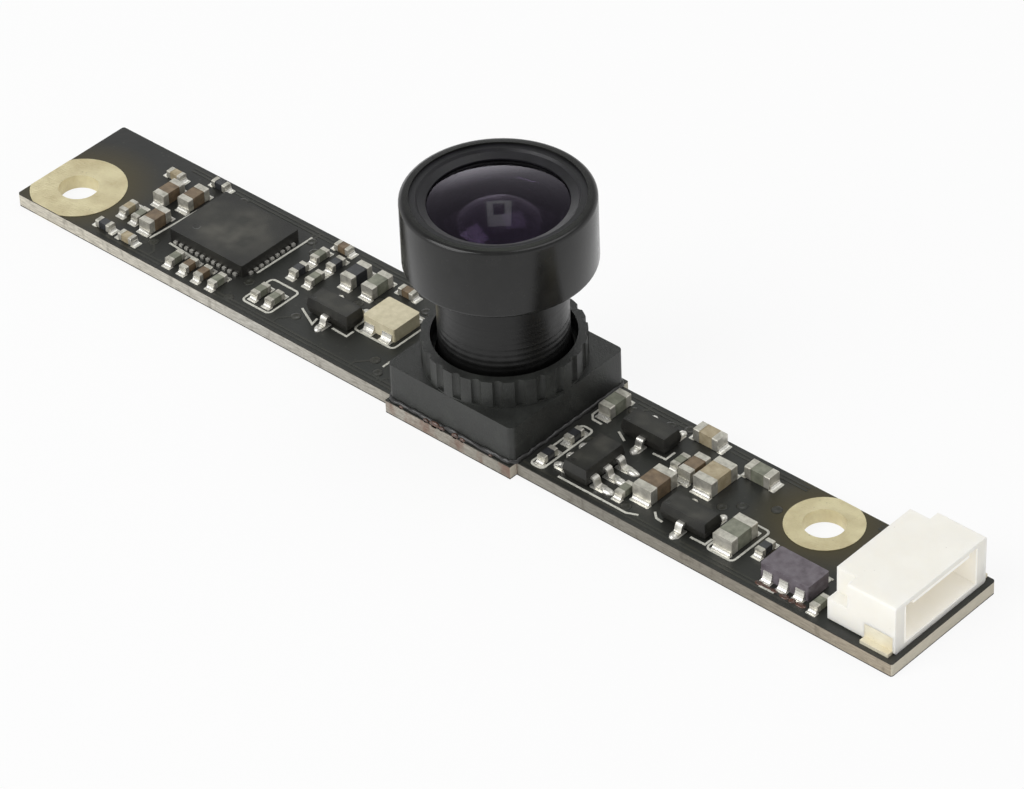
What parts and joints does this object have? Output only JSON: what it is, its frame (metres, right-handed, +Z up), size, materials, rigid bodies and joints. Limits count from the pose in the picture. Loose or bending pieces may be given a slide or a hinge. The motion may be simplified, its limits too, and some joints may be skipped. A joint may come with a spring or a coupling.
{
  "type": "camera module",
  "caption": "Long narrow circuit board with a wide-angle screw-in lens over an image sensor, camera chips, two plated screw holes and a side-entry cable connector.",
  "frame": {"origin": "centre of the board's underside, which is the middle of the part's box at its base", "axes": "+X along the board towards the cable connector, +Y across the board, +Z up along the lens axis, the way the lens looks"},
  "size_m": [0.06, 0.0098, 0.0131],
  "materials": {
    "solder_mask": "satin black solder mask over glass-fibre board",
    "gold_plating": "pale gold plating",
    "black_moulding": "matt black moulded plastic",
    "barrel_black": "satin black anodised metal",
    "ring_black": "matt black",
    "coated_glass": "polished glass with a violet coating",
    "filter_glass": "polished flat glass",
    "sensor_silicon": "polished dark silicon",
    "chip_epoxy": "matt black moulding compound",
    "solder": "bright solder",
    "tin_plating": "satin tin plating",
    "cream_ceramic": "matt cream ceramic",
    "brown_ceramic": "satin brown ceramic",
    "grey_ceramic": "satin grey ceramic",
    "tan_ceramic": "satin tan ceramic",
    "resistor_glaze": "glossy dark glaze",
    "choke_ferrite": "dark ferrite",
    "white_moulding": "satin white moulded plastic",
    "contact_plating": "pale tin-gold plating"
  },
  "bodies": {
    "root": {"circuit_board": "solder_mask", "left_screw_ring": "gold_plating", "right_screw_ring": "gold_plating", "lens_holder": "black_moulding", "lens_barrel": "barrel_black", "front_ring": "ring_black", "front_glass": "coated_glass", "second_lens": "coated_glass", "front_spacer": "ring_black", "middle_lens": "coated_glass", "aperture_disc": "ring_black", "rear_spacer": "ring_black", "rear_lens": "coated_glass", "infrared_filter": "filter_glass", "image_sensor": "sensor_silicon", "sensor_cover_glass": "filter_glass", "processor_chip": "chip_epoxy", "processor_lands": "solder", "left_regulator": "chip_epoxy", "middle_regulator": "chip_epoxy", "right_regulator": "chip_epoxy", "memory_chip": "chip_epoxy", "chip_legs": "tin_plating", "clock_resonator": "cream_ceramic", "resonator_terminals": "solder", "brown_capacitors": "brown_ceramic", "grey_capacitors": "grey_ceramic", "tan_capacitors": "tan_ceramic", "chip_resistors": "resistor_glaze", "chip_part_ends": "tin_plating", "solder_fillets": "solder", "cable_choke": "choke_ferrite", "choke_terminals": "solder", "connector_housing": "white_moulding", "connector_contacts": "contact_plating", "connector_anchors": "contact_plating"}
  },
  "joints": []
}
